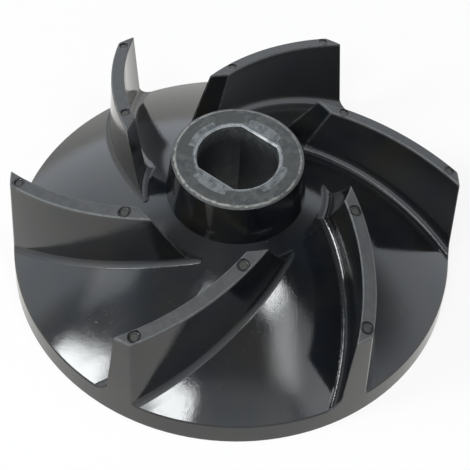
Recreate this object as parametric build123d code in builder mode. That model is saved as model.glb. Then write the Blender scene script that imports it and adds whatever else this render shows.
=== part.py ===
from build123d import *
import os
from math import acos, atan2, cos, degrees, hypot, radians, sin, sqrt, tan

# Pump impeller: one plastic moulding with six backward-curved vanes on a bell-shaped
# back shroud, moulded round a lobed metal bush with a double-D bore.
# Millimetres. The origin is the centre of the back face, on the shaft axis. +Z points
# out of the hub's end face, and the flats of the bore face +X and -X.

# ---- Driving dimensions: back shroud and hub ----
disc_radius = 56.0            # at the bottom edge of the rim
rim_height = 5.0
rim_draft = 2.0               # degrees: the rim and the vane ends lean in, going up
floor_arc_radius = 190.0      # concave sweep of the floor between the vanes
hub_foot_height = 26.5        # where the floor would meet the hub's flank
hub_height = 38.6
hub_end_radius = 16.0
hub_draft = 6.0               # degrees
hub_foot_fillet = 6.0
hub_lip_width = 1.2           # worn bevel round the hub's end face
hub_lip_drop = 0.6

# ---- Driving dimensions: the recess moulded into the back ----
shroud_wall = 5.0             # measured along the axis, between floor and recess
back_land_width = 9.0         # flat ring that the impeller stands on
hub_sleeve_wall = 4.0         # plastic round the bush's lobes, at the back face
recess_draft = 4.0            # degrees
recess_fillet = 2.0

# ---- Driving dimensions: vanes ----
vane_count = 6
vane_inner_radius = 28.1      # top of the leading edge
vane_top_drop = 0.5           # from the hub's end face down to the vanes' highest points
vane_fall = 15.8              # degrees: the top faces fall towards the rim
leading_edge_lean = 19.0      # degrees from the axis
vane_start_angle = 106.4      # of the camber line at the leading edge, from +X
vane_wrap = 37.8              # degrees from the leading edge to the rim, clockwise
camber_radius = 62.8
inner_thickness = 3.3         # at the height of the leading edge's top
outer_thickness = 2.55
vane_draft = 2.5              # degrees, each side
foot_fillet = 2.0
edge_bevel = 0.3              # round the vane tops and up the edges of the tips

# ---- Driving dimensions: ejector-pin marks on the vane tops ----
mark_radius = 1.25
mark_depth = 0.25
outer_mark_from_rim = 3.3     # from the vane's outer end, along the radius
inner_mark_from_edge = 3.2    # from the leading edge, along the radius

# ---- Driving dimensions: bush ----
bore_radius = 10.0
bore_across_flats = 17.0
sleeve_radius = 10.9          # plain part of the bush's outline
lobe_radius = 12.4
lobe_count = 4
lobe_span = 46.0              # degrees
lobe_corner_radius = 0.3
bore_chamfer = 0.35

# ---- Derived values ----
overrun = 2.0                 # blanks run past the surface that trims them
vane_blank_radius = disc_radius + overrun
blank_radius = vane_blank_radius + overrun
core_radius = 5.0             # left open on the axis, inside the bush's pocket
vane_inner_height = hub_height - vane_top_drop
leading_edge_run = vane_inner_height * tan(radians(leading_edge_lean))


def rim_radius(height):
    """Radius of the drafted rim and vane ends at a height above the back face."""
    return disc_radius - height * tan(radians(rim_draft))


def vane_top_height(radius):
    """Height of the vanes' conical top faces at a radius."""
    return vane_inner_height - (radius - vane_inner_radius) * tan(radians(vane_fall))


def polar(radius, angle):
    """Plan point at a radius and an angle in degrees."""
    return Vector(radius * cos(radians(angle)), radius * sin(radians(angle)))


def plan_radius(point):
    """Distance of a point from the shaft axis."""
    return hypot(point.X, point.Y)


def bearing_of(vector):
    """Angle of a plan vector from +X, in degrees."""
    return degrees(atan2(vector.Y, vector.X))


def arc_centre(start, end, radius, side):
    """Centre of the arc through two points, on the right of the way from start to end if side is 1."""
    chord = end - start
    distance = sqrt(radius**2 - (chord.length / 2) ** 2)
    return (start + end) * 0.5 + Vector(chord.Y, -chord.X).normalized() * distance * side


hub_foot_radius = hub_end_radius + (hub_height - hub_foot_height) * tan(radians(hub_draft))

# The camber line is one arc from the leading edge to the rim.
camber_start = polar(vane_inner_radius, vane_start_angle)
camber_end = polar(rim_radius(rim_height), vane_start_angle - vane_wrap)
camber_centre = arc_centre(camber_start, camber_end, camber_radius, 1)
start_bearing = bearing_of(camber_start - camber_centre)
end_bearing = bearing_of(camber_end - camber_centre)
camber_sweep = (end_bearing - start_bearing + 180) % 360 - 180
camber_length = camber_radius * radians(abs(camber_sweep))


def vane_side(share, side):
    """Plan point on one side of the vane, at a share of the way from leading edge to rim.

    side is 1 for the convex side, -1 for the concave side and 0 for the camber line.
    """
    bearing = start_bearing + camber_sweep * share
    thickness = inner_thickness + (outer_thickness - inner_thickness) * share
    return camber_centre + polar(camber_radius + side * thickness / 2, bearing)


def camber_point_at(radius):
    """Point of the camber line at a radius from the shaft axis."""
    distance = camber_centre.length
    cosine = (distance**2 + radius**2 - camber_radius**2) / (2 * distance * radius)
    return polar(radius, bearing_of(camber_centre) + degrees(acos(cosine)))


# The floor between the vanes is an arc, swept round the axis, that sags towards the back.
floor_start = Vector(rim_radius(rim_height), rim_height)
floor_end = Vector(hub_foot_radius, hub_foot_height)
floor_centre = arc_centre(floor_start, floor_end, floor_arc_radius, 1)


def floor_height(radius):
    """Height of the floor between the vanes at a radius."""
    return floor_centre.Y - sqrt(floor_arc_radius**2 - (radius - floor_centre.X) ** 2)


def recess_corner(foot_radius, side):
    """Section point where a drafted recess wall meets its ceiling.

    side is 1 for the wall round the bush, which leans out going up, and -1 for the outer wall.
    """
    height = 0.0
    for _ in range(40):
        height = floor_height(foot_radius + side * height * tan(radians(recess_draft))) - shroud_wall
    return Vector(foot_radius + side * height * tan(radians(recess_draft)), height)


# ---- Shroud and hub as a solid of revolution, before the vanes and the recess ----
with BuildPart() as shroud:
    with BuildSketch(Plane.XZ):
        with BuildLine():
            back_face = Line((0, 0), (blank_radius, 0))
            blank_edge = Line(back_face @ 1, (blank_radius, floor_height(blank_radius)))
            floor = RadiusArc(blank_edge @ 1, floor_end, -floor_arc_radius)
            flank = Line(floor @ 1, (hub_end_radius, hub_height - hub_lip_drop))
            lip = Line(flank @ 1, (hub_end_radius - hub_lip_width, hub_height))
            end_face = Line(lip @ 1, (0, hub_height))
            Line(end_face @ 1, back_face @ 0)
        make_face()
        fillet(vertices().sort_by_distance(Vector(floor_end.X, 0, floor_end.Y))[0], hub_foot_fillet)
    revolve(axis=Axis.Z)

# ---- Plan of one sector: bounded by the camber line turned half a pitch each way ----
with BuildSketch() as sector_plan:
    with BuildLine():
        half_pitch = 180 / vane_count
        camber_line = [vane_side(share, 0) for share in (0, 0.6, 1.2)]
        left_side = ThreePointArc(*[point.rotate(Axis.Z, half_pitch) for point in camber_line])
        right_side = ThreePointArc(*[point.rotate(Axis.Z, -half_pitch) for point in camber_line])
        left_root = (left_side @ 0).normalized() * core_radius
        right_root = (right_side @ 0).normalized() * core_radius
        Line(left_root, left_side @ 0)
        Line(right_root, right_side @ 0)
        ThreePointArc(left_root, (left_root + right_root).normalized() * core_radius, right_root)
        beyond_rim = ((left_side @ 1) + (right_side @ 1)).normalized() * (blank_radius + 2 * overrun)
        ThreePointArc(left_side @ 1, beyond_rim, right_side @ 1)
    make_face()

# ---- One vane: a drafted blank along the camber line, trimmed by a turned envelope ----
with BuildPart() as vane:
    with BuildSketch(Plane.XY.offset(vane_inner_height)):
        with BuildLine():
            inner_share = -1.5 * leading_edge_run / camber_length
            outer_share = 1 + 4 * overrun / camber_length
            shares = (inner_share, (inner_share + outer_share) / 2, outer_share)
            convex_side = ThreePointArc(*[vane_side(share, 1) for share in shares])
            concave_side = ThreePointArc(*[vane_side(share, -1) for share in shares])
            Line(convex_side @ 0, concave_side @ 0)
            Line(convex_side @ 1, concave_side @ 1)
        make_face()
    extrude(amount=-vane_inner_height, taper=-vane_draft)
    with BuildSketch(Plane.XZ):
        with BuildLine():
            Polyline(
                (vane_inner_radius - leading_edge_run, 0),
                (vane_inner_radius, vane_inner_height),
                (vane_blank_radius, vane_top_height(vane_blank_radius)),
                (vane_blank_radius, 0),
                close=True,
            )
        make_face()
    revolve(axis=Axis.Z, mode=Mode.INTERSECT)

# ---- Ejector-pin marks: two shallow round sinks that follow the top of the vane ----
with BuildPart() as pin_marks:
    with BuildSketch(Plane.XY):
        with Locations(
            camber_point_at(disc_radius - outer_mark_from_rim),
            camber_point_at(vane_inner_radius + inner_mark_from_edge),
        ):
            Circle(mark_radius)
    extrude(amount=hub_height)
    with BuildSketch(Plane.XZ):
        with BuildLine():
            Polyline(
                (0, vane_top_height(0) - mark_depth),
                (0, 2 * hub_height),
                (blank_radius, 2 * hub_height),
                (blank_radius, vane_top_height(blank_radius) - mark_depth),
                close=True,
            )
        make_face()
    revolve(axis=Axis.Z, mode=Mode.INTERSECT)


def on_vane_top(edge):
    """True for the edges round a vane's conical top face."""
    middle = edge @ 0.5
    return abs(middle.Z - vane_top_height(plan_radius(middle))) < 0.01


def on_bore_mouth(edge):
    """True for the bore's edges on the two end faces of the bush."""
    middle = edge @ 0.5
    at_an_end = min(abs(middle.Z), abs(middle.Z - hub_height)) < 0.01
    return at_an_end and plan_radius(middle) < (bore_radius + sleeve_radius) / 2


def on_vane_tip(edge):
    """True for the upright edges where a vane meets the rim's surface, clear of its foot."""
    middle = edge @ 0.5
    clear_of_foot = middle.Z > rim_height + 2 * foot_fillet
    return clear_of_foot and abs(plan_radius(middle) - rim_radius(middle.Z)) < 0.01


# ---- One sixth of the moulding: a curved sector of the shroud with its vane blended in ----
with BuildPart() as sector:
    add(shroud.part)
    add(vane.part)
    foot_edges = new_edges(shroud.part, vane.part, combined=sector.part)
    fillet(foot_edges.filter_by(lambda edge: plan_radius(edge @ 0.5) < disc_radius), foot_fillet)
    # The rim and the vane ends are one drafted surface.
    with BuildSketch(Plane.XZ):
        with BuildLine():
            Polyline(
                (rim_radius(-overrun), -overrun),
                (rim_radius(hub_height), hub_height),
                (blank_radius + overrun, hub_height),
                (blank_radius + overrun, -overrun),
                close=True,
            )
        make_face()
    revolve(axis=Axis.Z, mode=Mode.SUBTRACT)
    crisp_edges = sector.edges()
    chamfer(crisp_edges.filter_by(on_vane_top) + crisp_edges.filter_by(on_vane_tip), edge_bevel)
    add(pin_marks.part, mode=Mode.SUBTRACT)
    with BuildSketch(Plane.XY.offset(-overrun)):
        add(sector_plan.sketch)
    extrude(amount=hub_height + 2 * overrun, mode=Mode.INTERSECT)

# ---- Outline of the bush: a sleeve with lobes that key it into the plastic ----
with BuildSketch() as lobe_gap:
    with BuildLine():
        gap_middle = 180 / lobe_count
        half_gap = gap_middle - lobe_span / 2
        Polyline(
            (0, 0),
            polar(2 * lobe_radius, gap_middle - half_gap),
            polar(2 * lobe_radius, gap_middle + half_gap),
            close=True,
        )
    make_face()

with BuildSketch() as bush_outline:
    Circle(lobe_radius)
    with PolarLocations(0, lobe_count):
        add(lobe_gap.sketch, mode=Mode.SUBTRACT)
    Circle(sleeve_radius)
    fillet(vertices(), lobe_corner_radius)

# ---- The moulding: six sectors, cored out from behind, with the bush's pocket ----
with BuildPart() as impeller:
    with PolarLocations(0, vane_count):
        add(sector.part)
    with BuildSketch(Plane.XZ):
        with BuildLine():
            sleeve_foot = Vector(lobe_radius + hub_sleeve_wall, 0)
            land_foot = Vector(disc_radius - back_land_width, 0)
            sleeve_top = recess_corner(sleeve_foot.X, 1)
            land_top = recess_corner(land_foot.X, -1)
            mouth_drop = Vector(0, -overrun)
            Polyline(sleeve_top, sleeve_foot, sleeve_foot + mouth_drop, land_foot + mouth_drop, land_foot, land_top)
            RadiusArc(land_top, sleeve_top, -floor_arc_radius)
        make_face()
        corner_points = [Vector(corner.X, 0, corner.Y) for corner in (sleeve_top, land_top)]
        fillet([vertices().sort_by_distance(point)[0] for point in corner_points], recess_fillet)
    revolve(axis=Axis.Z, mode=Mode.SUBTRACT)
    with BuildSketch(Plane.XY.offset(-overrun)):
        add(bush_outline.sketch)
    extrude(amount=hub_height + 2 * overrun, mode=Mode.SUBTRACT)
impeller.part.label = "impeller"

# ---- The bush: the full height of the hub, flush with both its faces ----
with BuildPart() as bore_insert:
    with BuildSketch(Plane.XY):
        add(bush_outline.sketch)
    extrude(amount=hub_height)
    with BuildSketch(Plane.XY):
        Circle(bore_radius)
        Rectangle(bore_across_flats, 2 * bore_radius, mode=Mode.INTERSECT)
    extrude(amount=hub_height, mode=Mode.SUBTRACT)
    chamfer(bore_insert.edges().filter_by(on_bore_mouth), bore_chamfer)
bore_insert.part.label = "bore_insert"

os.makedirs("parts", exist_ok=True)
export_step(impeller.part, "parts/impeller.step")
export_step(bore_insert.part, "parts/bore_insert.step")
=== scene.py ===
from math import atan2, cos, hypot, pi, radians, sin, sqrt, tan

import bpy
from mathutils import Matrix, Vector

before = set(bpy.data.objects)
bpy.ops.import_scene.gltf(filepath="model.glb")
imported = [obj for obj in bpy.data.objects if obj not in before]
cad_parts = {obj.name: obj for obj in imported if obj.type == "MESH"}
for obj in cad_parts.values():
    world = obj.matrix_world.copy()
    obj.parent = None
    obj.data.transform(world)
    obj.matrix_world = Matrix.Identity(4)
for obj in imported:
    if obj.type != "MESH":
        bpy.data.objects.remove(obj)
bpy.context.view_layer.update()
bpy.context.scene.view_settings.view_transform = "Standard"

# ---- Sizes of the impeller, in millimetres, that the finishes follow ----
disc_radius = 56.0
rim_height = 5.0
rim_draft = radians(2.0)
hub_height = 38.6
hub_end_radius = 16.0
hub_lip_drop = 0.6
vane_count = 6
vane_inner_radius = 28.1
vane_inner_height = 38.1
vane_fall = radians(15.8)
leading_edge_lean = radians(19.0)
vane_start_angle = radians(106.4)
vane_wrap = radians(37.8)
camber_radius = 62.8
inner_thickness = 3.3
outer_thickness = 2.55
vane_draft = radians(2.5)
bore_radius = 10.0
bore_half_flats = 8.5
bore_chamfer = 0.35
mark_radius = 1.25
mark_places = (52.7, 31.3)      # radii of the two ejector marks on each vane top

mm_per_metre = 1000.0
metres_per_micron = 1e-6


def camber_centre():
    """Centre of the vane's camber arc, as a distance and a bearing from the shaft axis.

    The arc passes through the top of the leading edge and the rim. Its centre lies on the chord's
    perpendicular bisector, to the right of the way out.
    """
    outer_radius = disc_radius - rim_height * tan(rim_draft)
    start = Vector((cos(vane_start_angle), sin(vane_start_angle))) * vane_inner_radius
    end_angle = vane_start_angle - vane_wrap
    end = Vector((cos(end_angle), sin(end_angle))) * outer_radius
    chord = end - start
    distance = sqrt(camber_radius**2 - (chord.length / 2) ** 2)
    centre = (start + end) / 2 + Vector((chord.y, -chord.x)).normalized() * distance
    return hypot(centre.x, centre.y), atan2(centre.y, centre.x)


# ---- Camera: angles, and lengths in metres, about a point on the table near the shaft axis ----
view_turn = radians(-55.63)
view_rise = radians(52.30)
view_roll = radians(-4.12)
view_distance = 0.37692
aim_offset = Vector((0.000638, 0.006003, 0.0))      # to the camera's right, and away from it
lens_millimetres = 109.4
sensor_millimetres = 36.0
nearest_seen = 0.01

turned = Matrix.Rotation(view_turn, 3, "Z")
aim = turned @ aim_offset
towards_camera = turned @ Vector((0.0, -cos(view_rise), sin(view_rise)))
level_right = turned @ Vector((1.0, 0.0, 0.0))
level_up = towards_camera.cross(level_right)
camera_right = level_right * cos(view_roll) - level_up * sin(view_roll)
camera_up = level_right * sin(view_roll) + level_up * cos(view_roll)

camera_data = bpy.data.cameras.new("studio_camera")
camera_data.lens = lens_millimetres
camera_data.sensor_width = sensor_millimetres
camera_data.clip_start = nearest_seen
camera = bpy.data.objects.new("studio_camera", camera_data)
facing = Matrix((camera_right, camera_up, towards_camera)).transposed().to_4x4()
camera.matrix_world = Matrix.Translation(aim + towards_camera * view_distance) @ facing
bpy.context.scene.collection.objects.link(camera)
bpy.context.scene.camera = camera


# ---- Node helpers ----
def add_node(tree, kind, **settings):
    """Adds a shader node and sets its named properties."""
    node = tree.nodes.new(kind)
    for name, value in settings.items():
        setattr(node, name, value)
    return node


def feed(tree, value, socket):
    """Links an output to a socket, or writes a number or an opaque linear colour into it."""
    if isinstance(value, bpy.types.NodeSocket):
        tree.links.new(value, socket)
    elif isinstance(value, tuple):
        socket.default_value = (*value, 1.0)
    else:
        socket.default_value = value


def calc(tree, operation, first, second=0.0, third=0.0):
    """One Math node; each operand is a number or an output."""
    node = add_node(tree, "ShaderNodeMath", operation=operation)
    for value, socket in zip((first, second, third), node.inputs):
        feed(tree, value, socket)
    return node.outputs[0]


def ramp(tree, value, low, high, bottom=0.0, top=1.0):
    """Smooth step of a value from low to high, put out between bottom and top."""
    node = add_node(tree, "ShaderNodeMapRange", interpolation_type="SMOOTHSTEP")
    for number, socket in zip((value, low, high, bottom, top), node.inputs[:5]):
        feed(tree, number, socket)
    return node.outputs[0]


def near(tree, value, centre, reach):
    """1 about a centre, falling smoothly to 0 from about half the reach, to either side."""
    full_part = 0.55
    distance = calc(tree, "ABSOLUTE", calc(tree, "SUBTRACT", value, centre))
    return ramp(tree, distance, reach * full_part, reach, 1.0, 0.0)


def product(tree, *factors):
    """Product of several masks or numbers."""
    result = factors[0]
    for factor in factors[1:]:
        result = calc(tree, "MULTIPLY", result, factor)
    return result


def highest(tree, *masks):
    """The largest of several masks."""
    result = masks[0]
    for mask in masks[1:]:
        result = calc(tree, "MAXIMUM", result, mask)
    return result


def noise(tree, vector, scale, detail=2.0, roughness=0.5, distortion=0.0):
    """Fractal noise of a vector, about 0 to 1, with scale cells to one unit of the vector."""
    node = add_node(tree, "ShaderNodeTexNoise")
    tree.links.new(vector, node.inputs["Vector"])
    node.inputs["Scale"].default_value = scale
    node.inputs["Detail"].default_value = detail
    node.inputs["Roughness"].default_value = roughness
    node.inputs["Distortion"].default_value = distortion
    return node.outputs["Fac"]


def random_cells(tree, vector, scale, **settings):
    """Voronoi cells of a vector: the cells' node, and three random numbers of each cell."""
    cells = add_node(tree, "ShaderNodeTexVoronoi", **settings)
    tree.links.new(vector, cells.inputs["Vector"])
    cells.inputs["Scale"].default_value = scale
    pick = add_node(tree, "ShaderNodeSeparateColor")
    tree.links.new(cells.outputs["Color"], pick.inputs[0])
    return cells, pick.outputs


def object_place(tree, scale):
    """Object coordinates, which are in metres, times a scale."""
    place = add_node(tree, "ShaderNodeTexCoord")
    scaled = add_node(tree, "ShaderNodeVectorMath", operation="SCALE")
    tree.links.new(place.outputs["Object"], scaled.inputs[0])
    feed(tree, scale, scaled.inputs["Scale"])
    return scaled.outputs[0]


def coordinates(tree, vector):
    """The x, y and z of a vector."""
    parts = add_node(tree, "ShaderNodeSeparateXYZ")
    tree.links.new(vector, parts.inputs[0])
    return parts.outputs


def blend(tree, share, first, second):
    """Mix of two colours by the share of the second."""
    node = add_node(tree, "ShaderNodeMix", data_type="RGBA")
    feed(tree, share, node.inputs[0])
    feed(tree, first, node.inputs[6])
    feed(tree, second, node.inputs[7])
    return node.outputs[2]


def paint(tree, base, *coats):
    """Lays coats on a base colour in turn, each a mask and the colour that it brings."""
    for mask, colour in coats:
        base = blend(tree, mask, base, colour)
    return base


def new_group(name, inputs, outputs):
    """An empty node group of numbers, from its inputs' names and defaults and outputs' names."""
    group = bpy.data.node_groups.new(name, "ShaderNodeTree")
    for label, default in inputs.items():
        socket = group.interface.new_socket(name=label, in_out="INPUT", socket_type="NodeSocketFloat")
        socket.default_value = default
    for label in outputs:
        group.interface.new_socket(name=label, in_out="OUTPUT", socket_type="NodeSocketFloat")
    start = group.nodes.new("NodeGroupInput")
    return group, start.outputs, group.nodes.new("NodeGroupOutput")


def put_out(group, end, values):
    """Links values to a group's outputs by name."""
    for name, value in values.items():
        group.links.new(value, end.inputs[name])


def use_group(tree, group, **values):
    """Places a node group in a tree, with its inputs set by name, and gives its outputs."""
    node = add_node(tree, "ShaderNodeGroup", node_tree=group)
    for name, value in values.items():
        feed(tree, value, node.inputs[name])
    return node.outputs


# ---- Shared effects ----
def make_turned_place():
    """Where a point is on a turned part: radius, bearing and height in millimetres and radians.

    The radius is the root of the sum of x and y squared, and the bearing is the angle of y over x.
    """
    group, _, end = new_group("turned_place", {}, ("Radius", "Bearing", "Height"))
    x, y, z = coordinates(group, object_place(group, mm_per_metre))
    squares = calc(group, "ADD", product(group, x, x), product(group, y, y))
    radius = calc(group, "SQRT", squares)
    bearing = calc(group, "ARCTAN2", y, x)
    put_out(group, end, {"Radius": radius, "Bearing": bearing, "Height": z})
    return group


def make_grain():
    """Fine moulded or cast grain: a coarse and a fine noise added up, as a height about 0 to 1."""
    coarse_scale, coarse_part = 0.22, 0.45
    fine_scale, fine_part = 1.0, 0.55
    group, start, end = new_group("fine_grain", {"Size mm": 0.4}, ("Height",))
    cells = object_place(group, calc(group, "DIVIDE", mm_per_metre, start["Size mm"]))
    coarse = noise(group, cells, coarse_scale, 2.0)
    fine = noise(group, cells, fine_scale, 2.0, 0.6)
    height = calc(group, "ADD", product(group, coarse, coarse_part), product(group, fine, fine_part))
    put_out(group, end, {"Height": height})
    return group


def make_sweep_streaks():
    """Soft streaks of polish that run outwards from the shaft and lean with the vanes.

    The noise is read on a circle of Count cells' radius, at the bearing plus Lean times the
    logarithm of the radius, and slowly along the radius, so that each streak follows a spiral.
    """
    log_base = 2.718
    cells_along = 0.03      # noise cells to a millimetre of radius
    group, start, end = new_group("sweep_streaks", {"Lean": 0.4, "Count": 20.0}, ("Streaks",))
    place = use_group(group, turned_place)
    log_radius = calc(group, "LOGARITHM", calc(group, "MAXIMUM", place["Radius"], 1.0), log_base)
    leaned = calc(group, "MULTIPLY_ADD", log_radius, start["Lean"], place["Bearing"])
    spot = add_node(group, "ShaderNodeCombineXYZ")
    group.links.new(product(group, calc(group, "SINE", leaned), start["Count"]), spot.inputs[0])
    group.links.new(product(group, calc(group, "COSINE", leaned), start["Count"]), spot.inputs[1])
    group.links.new(product(group, place["Radius"], cells_along), spot.inputs[2])
    put_out(group, end, {"Streaks": noise(group, spot.outputs[0], 1.0, 4.0, 0.6)})
    return group


def cell_lines(group, spot, share):
    """One straight line through the middle of each cell of a plan, in a share of the cells.

    The step from the middle is turned by the cell's first random number, its part across the line
    is held near 0, its part along it under a reach from the second, and the third empties cells.
    """
    half_width, end_fade = 0.035, 0.1
    half_length, half_length_spread = 0.06, 0.30
    cells, (turn_pick, length_pick, kept_pick) = random_cells(group, spot, 1.0, voronoi_dimensions="2D")
    step = add_node(group, "ShaderNodeVectorMath", operation="SUBTRACT")
    group.links.new(spot, step.inputs[0])
    group.links.new(cells.outputs["Position"], step.inputs[1])
    x, y, _ = coordinates(group, step.outputs[0])
    turn = calc(group, "MULTIPLY", turn_pick, 2 * pi)
    cosine, sine = calc(group, "COSINE", turn), calc(group, "SINE", turn)
    across = calc(group, "SUBTRACT", product(group, x, cosine), product(group, y, sine))
    along = calc(group, "ADD", product(group, x, sine), product(group, y, cosine))
    reach = calc(group, "MULTIPLY_ADD", length_pick, half_length_spread, half_length)
    faded = calc(group, "ADD", reach, end_fade)
    within = ramp(group, calc(group, "ABSOLUTE", along), reach, faded, 1.0, 0.0)
    kept = calc(group, "LESS_THAN", kept_pick, share)
    return product(group, near(group, across, 0.0, half_width), within, kept)


def make_hairlines():
    """Short straight hairline scratches at all angles, a few in each patch, and small flecks.

    Two plans of cells, one finer and shifted, each hold one line to a cell. A fleck is a dot at
    the middle of a few cells of a third pattern.
    """
    plans = ((1.0, 0.0), (1.6, 13.0))       # scale and shift of each plan of cells
    patch_scale = 0.16
    fleck_scale, fleck_core, fleck_edge = 1.1, 0.05, 0.10
    fleck_above = 0.86                      # keeps the cells whose random number is above this
    group, start, end = new_group("hairlines", {"Cell mm": 2.0, "Share": 0.4}, ("Lines", "Flecks"))
    spot = object_place(group, calc(group, "DIVIDE", mm_per_metre, start["Cell mm"]))
    patch = ramp(group, noise(group, spot, patch_scale, 2.0), 0.42, 0.62)
    share = product(group, start["Share"], patch)
    layers = []
    for scale, shift in plans:
        moved = add_node(group, "ShaderNodeVectorMath", operation="MULTIPLY_ADD")
        group.links.new(spot, moved.inputs[0])
        moved.inputs[1].default_value = (scale, scale, scale)
        moved.inputs[2].default_value = (shift, shift, 0.0)
        layers.append(cell_lines(group, moved.outputs[0], share))
    specks, picks = random_cells(group, spot, fleck_scale)
    fleck = ramp(group, specks.outputs["Distance"], fleck_core, fleck_edge, 1.0, 0.0)
    flecks = product(group, fleck, calc(group, "GREATER_THAN", picks[0], fleck_above))
    put_out(group, end, {"Lines": highest(group, *layers), "Flecks": flecks})
    return group


def past_camber(group, radius, bearing):
    """How far a point lies outwards from the camber arc of the nearest vane, in millimetres.

    Its bearing is compared with the camber line's bearing at its radius, by the law of cosines in
    the triangle of shaft, arc centre and point, and wrapped to one pitch. The same law then gives
    its distance from the arc's centre, and the camber radius is taken off that.
    """
    half_pitch = pi / vane_count
    centre_distance, centre_bearing = camber_centre()
    reach = calc(group, "MAXIMUM", radius, 1.0)
    squares = calc(group, "ADD", product(group, reach, reach), centre_distance**2)
    less_arc = calc(group, "ADD", product(group, reach, reach), centre_distance**2 - camber_radius**2)
    twice_sides = calc(group, "MULTIPLY", reach, 2 * centre_distance)
    opening = calc(group, "ARCCOSINE", calc(group, "DIVIDE", less_arc, twice_sides))
    offset = calc(group, "SUBTRACT", calc(group, "SUBTRACT", bearing, centre_bearing), opening)
    offset = calc(group, "WRAP", offset, half_pitch, -half_pitch)
    swing = calc(group, "COSINE", calc(group, "ADD", opening, offset))
    cosine_term = product(group, reach, swing, 2 * centre_distance)
    to_centre = calc(group, "SQRT", calc(group, "SUBTRACT", squares, cosine_term))
    return calc(group, "SUBTRACT", to_centre, camber_radius)


def from_marks(group, radius, outwards):
    """Distance from the nearer of a vane's two ejector marks, in millimetres.

    A step from a mark adds to the radius by its run along the camber line times a sine, and by
    its run outwards from the arc times the cosine, of the angle between the radius and the arc's
    own. That is solved for the run along, and the two runs' squares give the distance.
    """
    centre_distance, _ = camber_centre()
    distances = []
    for mark_at in mark_places:
        cosine = (mark_at**2 + camber_radius**2 - centre_distance**2) / (2 * mark_at * camber_radius)
        past_mark = calc(group, "SUBTRACT", radius, mark_at)
        run_part = calc(group, "MULTIPLY_ADD", outwards, -cosine, past_mark)
        run = calc(group, "MULTIPLY", run_part, 1 / sqrt(1 - cosine**2))
        squares = calc(group, "ADD", product(group, run, run), product(group, outwards, outwards))
        distances.append(calc(group, "SQRT", squares))
    return calc(group, "MINIMUM", *distances)


def make_vane_edges():
    """Masks of the vanes' tops, marks and dull feet, and of the moulding's crisp edges.

    A point's distance from the camber arc, less half the vane's thickness at its radius and
    height, is its distance past the vane's side. Its drop below the conical top face, its radius
    past the leaning leading edge and its depth inside the drafted rim are found in the same way.
    An edge is where two of these are near 0 together, or where the height is. Top is the top face
    of each vane, Ring and Sink are the rim and the inside of an ejector mark on it, and Foot is
    the corner between the floor and the outer side of a vane.
    """
    line_inset, line_reach = 0.10, 0.24     # the crisp lines lie this far inside, this far each way
    end_reach = 0.30                        # at a vane's nose and tip, and at the back edge
    tip_inset = 0.12
    tip_foot, tip_full = 2.5, 4.0           # height over the rim where a tip's wear starts and is full
    top_depth, top_reach = 0.15, 0.8
    ring_reach, sink_fade = 0.42, 0.25
    side_fade = 0.3
    foot_start, foot_full, foot_fade, foot_end = -0.1, 0.2, 2.6, 3.4
    side_tip_share, side_nose_share, back_share = 0.15, 0.5, 0.6

    group, _, end = new_group("vane_edges", {}, ("Edge", "Top", "Ring", "Sink", "Foot"))
    place = use_group(group, turned_place)
    radius, height = place["Radius"], place["Height"]
    outwards = past_camber(group, radius, place["Bearing"])
    across = calc(group, "ABSOLUTE", outwards)
    past_start = calc(group, "SUBTRACT", radius, vane_inner_radius)
    along = calc(group, "DIVIDE", past_start, disc_radius - vane_inner_radius)
    half = calc(group, "MULTIPLY_ADD", along, (outer_thickness - inner_thickness) / 2, inner_thickness / 2)
    down = calc(group, "SUBTRACT", vane_inner_height, height)
    drafted_half = calc(group, "MULTIPLY_ADD", down, tan(vane_draft), half)
    past_side = calc(group, "SUBTRACT", across, drafted_half)
    cone_top = calc(group, "MULTIPLY_ADD", past_start, -tan(vane_fall), vane_inner_height)
    below_top = calc(group, "SUBTRACT", cone_top, height)
    past_nose = calc(group, "ADD", past_start, calc(group, "MULTIPLY", down, tan(leading_edge_lean)))
    rim_radius = calc(group, "MULTIPLY_ADD", height, -tan(rim_draft), disc_radius)
    inside_rim = calc(group, "SUBTRACT", rim_radius, radius)

    at_side = near(group, past_side, -line_inset, line_reach)
    at_top = near(group, below_top, line_inset, line_reach)
    at_nose = near(group, past_nose, 0.0, end_reach)
    at_tip = near(group, inside_rim, tip_inset, end_reach)
    on_vane = ramp(group, past_side, 0.0, side_fade, 1.0, 0.0)
    over_rim = ramp(group, height, rim_height + tip_foot, rim_height + tip_full)
    edges = highest(
        group,
        product(group, at_top, at_side),
        product(group, at_top, at_nose, on_vane),
        product(group, at_top, at_tip, on_vane),
        product(group, at_side, at_tip, over_rim, side_tip_share),
        product(group, at_side, at_nose, side_nose_share),
        product(group, near(group, height, 0.0, end_reach), back_share),
    )
    top = product(group, near(group, below_top, top_depth, top_reach), on_vane)
    from_mark = from_marks(group, radius, outwards)
    in_mark = ramp(group, from_mark, mark_radius - sink_fade, mark_radius, 1.0, 0.0)
    foot = product(
        group,
        calc(group, "GREATER_THAN", outwards, 0.0),
        ramp(group, past_side, foot_start, foot_full),
        ramp(group, past_side, foot_fade, foot_end, 1.0, 0.0),
    )
    ring = product(group, near(group, from_mark, mark_radius, ring_reach), top)
    sink = product(group, in_mark, top)
    put_out(group, end, {"Edge": edges, "Top": top, "Ring": ring, "Sink": sink, "Foot": foot})
    return group


turned_place = make_turned_place()
fine_grain = make_grain()
sweep_streaks = make_sweep_streaks()
hairlines = make_hairlines()
vane_edges = make_vane_edges()


def new_material(name):
    """A material with its Principled shader, ready for nodes."""
    material = bpy.data.materials.new(name)
    material.use_nodes = True
    return material, material.node_tree, material.node_tree.nodes["Principled BSDF"]


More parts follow.
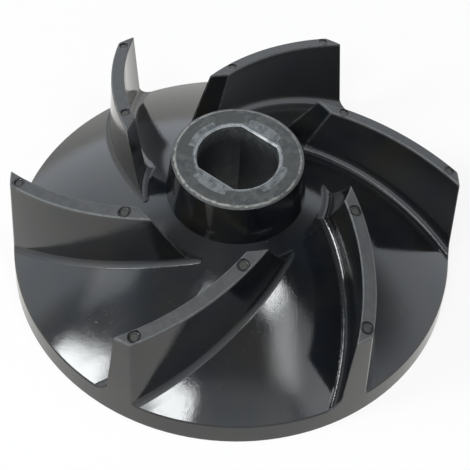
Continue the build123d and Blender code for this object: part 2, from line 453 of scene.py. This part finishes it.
def bump(tree, shader, *layers):
    """Stacks bumps, each a height and its depth in microns, onto the shader's normal."""
    normal = None
    for height, depth in layers:
        node = add_node(tree, "ShaderNodeBump")
        node.inputs["Strength"].default_value = 1.0
        node.inputs["Distance"].default_value = depth * metres_per_micron
        feed(tree, height, node.inputs["Height"])
        if normal is not None:
            tree.links.new(normal, node.inputs["Normal"])
        normal = node.outputs["Normal"]
    tree.links.new(normal, shader.inputs["Normal"])


# ---- Black plastic: linear colours, roughnesses, and noise scales in cells to the metre ----
deep_black, soft_black = (0.0062, 0.0078, 0.0108), (0.0118, 0.0122, 0.0120)
film_brown = (0.0150, 0.0132, 0.0100)
hairline_grey = (0.06, 0.075, 0.075)
fleck_grey = (0.09, 0.095, 0.085)
top_dark, top_light = (0.036, 0.037, 0.038), (0.052, 0.053, 0.054)
sink_grey = (0.024, 0.024, 0.019)
# painted shade: near black in the sharp step round the rim of each ejector mark
painted_ring_shade = (0.002, 0.002, 0.002)
end_dark, end_light = (0.022, 0.026, 0.027), (0.064, 0.066, 0.062)
end_stain = (0.034, 0.036, 0.034)
worn_grey = (0.14, 0.145, 0.14)
worn_lip_grey = (0.26, 0.255, 0.235)
polished_roughness = 0.01
top_roughness, top_roughness_spread = 0.50, 0.16
end_roughness = 0.48
worn_roughness = 0.40
corner_roughness = 0.62
film_scale = 55.0           # patches of the thin film
cloud_scale = 90.0          # broad changes of the black
mottle_scale = 520.0        # fine changes of the satin faces
wear_scale = 800.0          # breaks in the worn edges
peel_scale = 4000.0         # ripple of the polished skin
streak_lean, streak_count, polish_count = 0.45, 17.0, 120.0
hairline_cell, hairline_share = 2.0, 0.11       # millimetres, and the share of cells with a line
plastic_grain = 0.36                            # millimetres, as the bush's is
plastic_index = 1.52
end_groove_rate = 22.0      # radians of the turning marks' sine to a millimetre of radius


def make_black_plastic():
    """Glossy black moulding: polished floor and walls, satin tops, a turned hub end, worn edges.

    The colour is coats laid in turn, each by its mask. The roughness is a polished value that the
    streaks, film and hairlines add to, or the roughness of the roughest satin mask if that is
    more. The turning marks are a sine of the radius.
    """
    material, tree, shader = new_material("black_plastic")
    place = use_group(tree, turned_place)
    radius, height = place["Radius"], place["Height"]
    edges = use_group(tree, vane_edges)
    streaks = use_group(tree, sweep_streaks, Lean=streak_lean, Count=streak_count)["Streaks"]
    polish = use_group(tree, sweep_streaks, Lean=streak_lean, Count=polish_count)["Streaks"]
    marks = use_group(tree, hairlines, **{"Cell mm": hairline_cell, "Share": hairline_share})
    grain = use_group(tree, fine_grain, **{"Size mm": plastic_grain})["Height"]
    texture = add_node(tree, "ShaderNodeTexCoord")
    spot = texture.outputs["Object"]
    upwards = coordinates(tree, texture.outputs["Normal"])[2]
    open_floor = ramp(tree, upwards, 0.55, 0.8)
    off_wall = ramp(tree, upwards, 0.06, 0.14)
    off_floor = ramp(tree, upwards, 0.78, 0.86, 1.0, 0.0)
    corner = product(tree, edges["Foot"], off_wall, off_floor)
    cloud = noise(tree, spot, cloud_scale, 4.0, 0.55)
    mottle = noise(tree, spot, mottle_scale, 3.0, 0.6)
    film = noise(tree, spot, film_scale, 5.0, 0.6, 0.8)

    bevel_foot = hub_height - hub_lip_drop
    flat_end = ramp(tree, height, hub_height - 0.12, hub_height - 0.04)
    above_bevel_foot = ramp(tree, height, bevel_foot - 0.1, bevel_foot + 0.05)
    on_hub = ramp(tree, radius, hub_end_radius + 0.3, hub_end_radius + 0.6, 1.0, 0.0)
    hub_end = product(tree, above_bevel_foot, on_hub)
    wander = calc(tree, "MULTIPLY_ADD", mottle, 0.7, radius)
    lip = product(tree, near(tree, wander, hub_end_radius - 0.40, 0.32), hub_end)
    wear_noise = noise(tree, spot, wear_scale, 3.0, 0.65)
    wear = product(tree, edges["Edge"], ramp(tree, wear_noise, 0.30, 0.62, 0.25, 1.0))
    lip_wear = product(tree, lip, ramp(tree, wear_noise, 0.38, 0.56, 0.12, 1.0))

    top_tone = blend(tree, ramp(tree, mottle, 0.35, 0.65), top_dark, top_light)
    end_tone = blend(tree, ramp(tree, mottle, 0.40, 0.60), end_dark, end_light)
    end_tone = blend(tree, ramp(tree, cloud, 0.46, 0.66), end_tone, end_stain)
    base = paint(
        tree,
        blend(tree, ramp(tree, cloud, 0.35, 0.65), deep_black, soft_black),
        (product(tree, ramp(tree, film, 0.50, 0.66), 0.7), film_brown),
        (product(tree, marks["Lines"], open_floor, 0.16), hairline_grey),
        (product(tree, marks["Flecks"], 0.5), fleck_grey),
        (edges["Top"], top_tone),
        (product(tree, edges["Sink"], 0.9), sink_grey),
        # painted shade in the step round each ejector mark's rim
        (edges["Ring"], painted_ring_shade),
        (product(tree, hub_end, 0.95), end_tone),
        (product(tree, wear, 0.6), worn_grey),
        (product(tree, lip_wear, 0.9), worn_lip_grey),
    )
    feed(tree, base, shader.inputs["Base Color"])

    gloss = polished_roughness
    for mask, added in ((streaks, 0.11), (ramp(tree, film, 0.38, 0.66), 0.04), (marks["Lines"], 0.08)):
        gloss = calc(tree, "MULTIPLY_ADD", mask, added, gloss)
    top_gloss = calc(tree, "MULTIPLY_ADD", mottle, top_roughness_spread, top_roughness)
    top_gloss = calc(tree, "MULTIPLY", top_gloss, calc(tree, "MULTIPLY_ADD", edges["Ring"], -0.7, 1.0))
    satin = highest(
        tree,
        product(tree, edges["Top"], top_gloss),
        product(tree, hub_end, end_roughness),
        product(tree, wear, worn_roughness),
        product(tree, corner, corner_roughness),
    )
    feed(tree, highest(tree, gloss, satin), shader.inputs["Roughness"])
    shader.inputs["IOR"].default_value = plastic_index
    turning = calc(tree, "SINE", calc(tree, "MULTIPLY", radius, end_groove_rate))
    bump(
        tree,
        shader,
        (grain, 3.0),
        (noise(tree, spot, peel_scale, 0.0), 8.5),
        (mottle, 8.0),
        (product(tree, polish, open_floor), 7.0),
        (product(tree, marks["Lines"], open_floor), -1.5),
        (product(tree, turning, flat_end), 4.0),
        (highest(tree, wear, lip_wear), -30.0),
        (edges["Sink"], -120.0),
        (edges["Ring"], -220.0),
    )
    return material


# ---- Bush metal: linear colours, and the rest as above ----
bush_dark, bush_light = (0.088, 0.097, 0.100), (0.185, 0.193, 0.192)
# painted glints: lighter specks on the high spots of the bush's grain
painted_glint_grey = (0.26, 0.27, 0.27)
# painted shade: the colour the bore's walls darken to, deeper inside the bore
painted_bore_shade = (0.035, 0.038, 0.042)
mouth_grey = (0.30, 0.31, 0.31)
stain_scale = 420.0
bush_grain = 0.24
bush_roughness, bush_roughness_spread = 0.62, -0.20
bush_metallic = 0.8
bush_groove_rate = 26.0


def make_bush_metal():
    """Dull grey bush: turned end faces with stains, a bright worn bore edge and a dark bore.

    The distance inside the bore is the lesser of the distances within its flats and its round. A
    band of it at each edge of the chamfer, broken by the stains, is the worn edge. The bore's walls are
    darkened with depth by painted shade.
    """
    material, tree, shader = new_material("bush_metal")
    place = use_group(tree, turned_place)
    radius, height = place["Radius"], place["Height"]
    texture = add_node(tree, "ShaderNodeTexCoord")
    grain = use_group(tree, fine_grain, **{"Size mm": bush_grain})["Height"]
    stain = noise(tree, texture.outputs["Object"], stain_scale, 4.0, 0.65)
    # painted glints on the high spots of the grain
    glint_spots = ramp(tree, grain, 0.50, 0.68)
    across = calc(tree, "ABSOLUTE", product(tree, calc(tree, "COSINE", place["Bearing"]), radius))
    within_flats = calc(tree, "SUBTRACT", bore_half_flats, across)
    within_round = calc(tree, "SUBTRACT", bore_radius, radius)
    inside = calc(tree, "MINIMUM", within_flats, within_round)
    outer_line = near(tree, inside, -bore_chamfer - 0.04, 0.16)
    inner_line = near(tree, inside, -0.02, 0.14)
    end_face = ramp(tree, height, hub_height - 0.6, hub_height - 0.45)
    broken = ramp(tree, stain, 0.30, 0.55, 0.4, 1.0)
    mouth = product(tree, highest(tree, outer_line, inner_line), end_face, broken)
    # painted shade: share of the bore's darkening, growing with depth below the end face
    bore_shade_depth = ramp(tree, height, hub_height - 0.5, hub_height - 6.0)
    base = paint(
        tree,
        blend(tree, ramp(tree, stain, 0.38, 0.62), bush_dark, bush_light),
        (product(tree, glint_spots, 0.5), painted_glint_grey),
        (product(tree, bore_shade_depth, 0.9), painted_bore_shade),
        (product(tree, mouth, 0.9), mouth_grey),
    )
    feed(tree, base, shader.inputs["Base Color"])
    roughness = calc(tree, "MULTIPLY_ADD", stain, bush_roughness_spread, bush_roughness)
    feed(tree, roughness, shader.inputs["Roughness"])
    shader.inputs["Metallic"].default_value = bush_metallic
    turning = calc(tree, "SINE", calc(tree, "MULTIPLY", radius, bush_groove_rate))
    bump(tree, shader, (grain, 12.0), (turning, 3.0))
    return material


for node_name, finish in (("impeller", make_black_plastic()), ("bore_insert", make_bush_metal())):
    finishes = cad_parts[node_name].data.materials
    finishes.clear()
    finishes.append(finish)


# ---- Studio: lamps, surroundings and table ----
def direction(bearing, rise):
    """Unit vector from the part, degrees round from the camera's right and above the table."""
    level = Vector((cos(radians(rise)), 0.0, sin(radians(rise))))
    return Matrix.Rotation(view_turn + radians(bearing), 3, "Z") @ level


lamp_distance = 1.2
lamp_tint = (0.96, 0.99, 1.0)


def add_lamp(name, bearing, rise, size, radiance, roll):
    """A soft rectangular lamp that faces the part.

    bearing and rise are its direction, size is its width and height as angles from the part, in
    degrees, radiance is how bright its face is, whatever its size, and roll turns it about the
    line to the part, in degrees. Its energy is the radiance times pi times its area.
    """
    data = bpy.data.lights.new(name, "AREA")
    data.shape = "RECTANGLE"
    data.size = 2 * lamp_distance * tan(radians(size[0] / 2))
    data.size_y = 2 * lamp_distance * tan(radians(size[1] / 2))
    data.energy = radiance * pi * data.size * data.size_y
    data.color = lamp_tint
    lamp = bpy.data.objects.new(name, data)
    away = direction(bearing, rise)
    facing_part = away.to_track_quat("Z", "Y").to_matrix().to_4x4() @ Matrix.Rotation(radians(roll), 4, "Z")
    lamp.matrix_world = Matrix.Translation(away * lamp_distance) @ facing_part
    bpy.context.scene.collection.objects.link(lamp)


# Each lamp's name, bearing, rise, width and height, radiance and roll
lamps = (
    ("lamp_left", -157.5, 36.4, (19.0, 12.5), 22.0, 34.0),
    ("lamp_near", -117.0, 50.5, (15.0, 9.0), 20.0, 0.0),
    ("lamp_above", -31.5, 68.0, (11.0, 4.5), 18.0, -13.0),
    ("lamp_high", -111.0, 70.5, (10.0, 4.5), 17.0, 0.0),
    ("lamp_right", -41.0, 60.5, (8.0, 19.0), 3.6, -48.0),
    ("glow_right", -36.0, 53.0, (17.0, 22.0), 1.4, 0.0),
    ("glow_left", 172.0, 46.5, (17.0, 13.0), 1.5, 0.0),
    ("glow_near", -88.0, 52.0, (44.0, 12.0), 0.6, 0.0),
)
for lamp_settings in lamps:
    add_lamp(*lamp_settings)


def empty_tree(owner):
    """The node tree of a world or a material, with nothing in it."""
    owner.use_nodes = True
    owner.node_tree.nodes.clear()
    return owner.node_tree


def seen_directly(tree):
    """Two masks of rays: from the camera, in a mirror or through glass, and the camera's alone.

    The first is the largest of three, and where it is 0 the rays light things up.
    """
    paths = add_node(tree, "ShaderNodeLightPath")
    rays = [paths.outputs[name] for name in ("Is Camera Ray", "Is Glossy Ray", "Is Transmission Ray")]
    return highest(tree, *rays), rays[0]


# Strengths of the surroundings, where 1 is white
wall_strength, ceiling_strength, fill_strength = 1.9, 0.36, 0.26
wall_top, ceiling_foot = radians(36), radians(64)
sky_tint, white = (0.88, 0.93, 1.0), (1.0, 1.0, 1.0)
# Darker patches of the room: bearing, rise, radius of the core and of the edge, all in degrees,
# and the share of the light that is left in the core
dark_patches = ((16, 53, 15, 27, 0.25), (-173, 36, 7, 15, 0.45))


def make_surroundings():
    """White all round; in reflections, pale walls under a dim ceiling, with two darker patches.

    The walls fade into the ceiling by the height of the ray. A patch is a smooth step of the
    cosine between the ray and the patch's direction.
    """
    world = bpy.data.worlds.new("studio")
    bpy.context.scene.world = world
    tree = empty_tree(world)
    seen, by_camera = seen_directly(tree)
    place = add_node(tree, "ShaderNodeTexCoord")
    rise_of_ray = coordinates(tree, place.outputs["Generated"])[2]
    reflected = ramp(tree, rise_of_ray, sin(wall_top), sin(ceiling_foot), wall_strength, ceiling_strength)
    for bearing, rise, core, edge, share in dark_patches:
        towards = add_node(tree, "ShaderNodeVectorMath", operation="DOT_PRODUCT")
        tree.links.new(place.outputs["Generated"], towards.inputs[0])
        towards.inputs[1].default_value = direction(bearing, rise)
        cosines = (cos(radians(edge)), cos(radians(core)))
        reflected = product(tree, reflected, ramp(tree, towards.outputs["Value"], *cosines, 1.0, share))
    in_reflections = calc(tree, "SUBTRACT", seen, by_camera)
    strength = calc(tree, "MULTIPLY", reflected, in_reflections)
    strength = calc(tree, "ADD", strength, by_camera)
    fill = calc(tree, "MULTIPLY", calc(tree, "SUBTRACT", 1.0, seen), fill_strength)
    strength = calc(tree, "ADD", strength, fill)
    sky = add_node(tree, "ShaderNodeBackground")
    feed(tree, blend(tree, by_camera, sky_tint, white), sky.inputs["Color"])
    feed(tree, strength, sky.inputs["Strength"])
    tree.links.new(sky.outputs[0], add_node(tree, "ShaderNodeOutputWorld").inputs["Surface"])


# Table: sizes in metres, linear colours, and how much of its own glow shows near and far
table_half = 6.0
table_drop = 0.00002        # keeps the table just clear of the disc's back
table_paint = (0.93, 0.925, 0.90)
table_reflected = (1.0, 0.99, 0.96)
lift_start, lift_end = 0.09, 0.30
lift_near, lift_far = 0.86, 1.0


def make_table():
    """White table that keeps the part's shadow, lifted to white where it is looked at.

    The share of its own glow is a smooth step of the distance from the shaft axis.
    """
    mesh = bpy.data.meshes.new("table")
    half, low = table_half, -table_drop
    corners = [(-half, -half, low), (half, -half, low), (half, half, low), (-half, half, low)]
    mesh.from_pydata(corners, [], [(0, 1, 2, 3)])
    table = bpy.data.objects.new("table", mesh)
    bpy.context.scene.collection.objects.link(table)
    material = bpy.data.materials.new("white_table")
    tree = empty_tree(material)
    seen, by_camera = seen_directly(tree)
    place = add_node(tree, "ShaderNodeTexCoord")
    from_part = add_node(tree, "ShaderNodeVectorMath", operation="LENGTH")
    tree.links.new(place.outputs["Object"], from_part.inputs[0])
    lift = ramp(tree, from_part.outputs["Value"], lift_start, lift_end, lift_near, lift_far)
    paint_shader = add_node(tree, "ShaderNodeBsdfDiffuse")
    feed(tree, table_paint, paint_shader.inputs["Color"])
    glow = add_node(tree, "ShaderNodeEmission")
    feed(tree, blend(tree, by_camera, table_reflected, white), glow.inputs["Color"])
    mix = add_node(tree, "ShaderNodeMixShader")
    feed(tree, calc(tree, "MULTIPLY", seen, lift), mix.inputs[0])
    tree.links.new(paint_shader.outputs[0], mix.inputs[1])
    tree.links.new(glow.outputs[0], mix.inputs[2])
    tree.links.new(mix.outputs[0], add_node(tree, "ShaderNodeOutputMaterial").inputs["Surface"])
    mesh.materials.append(material)


make_surroundings()
make_table()
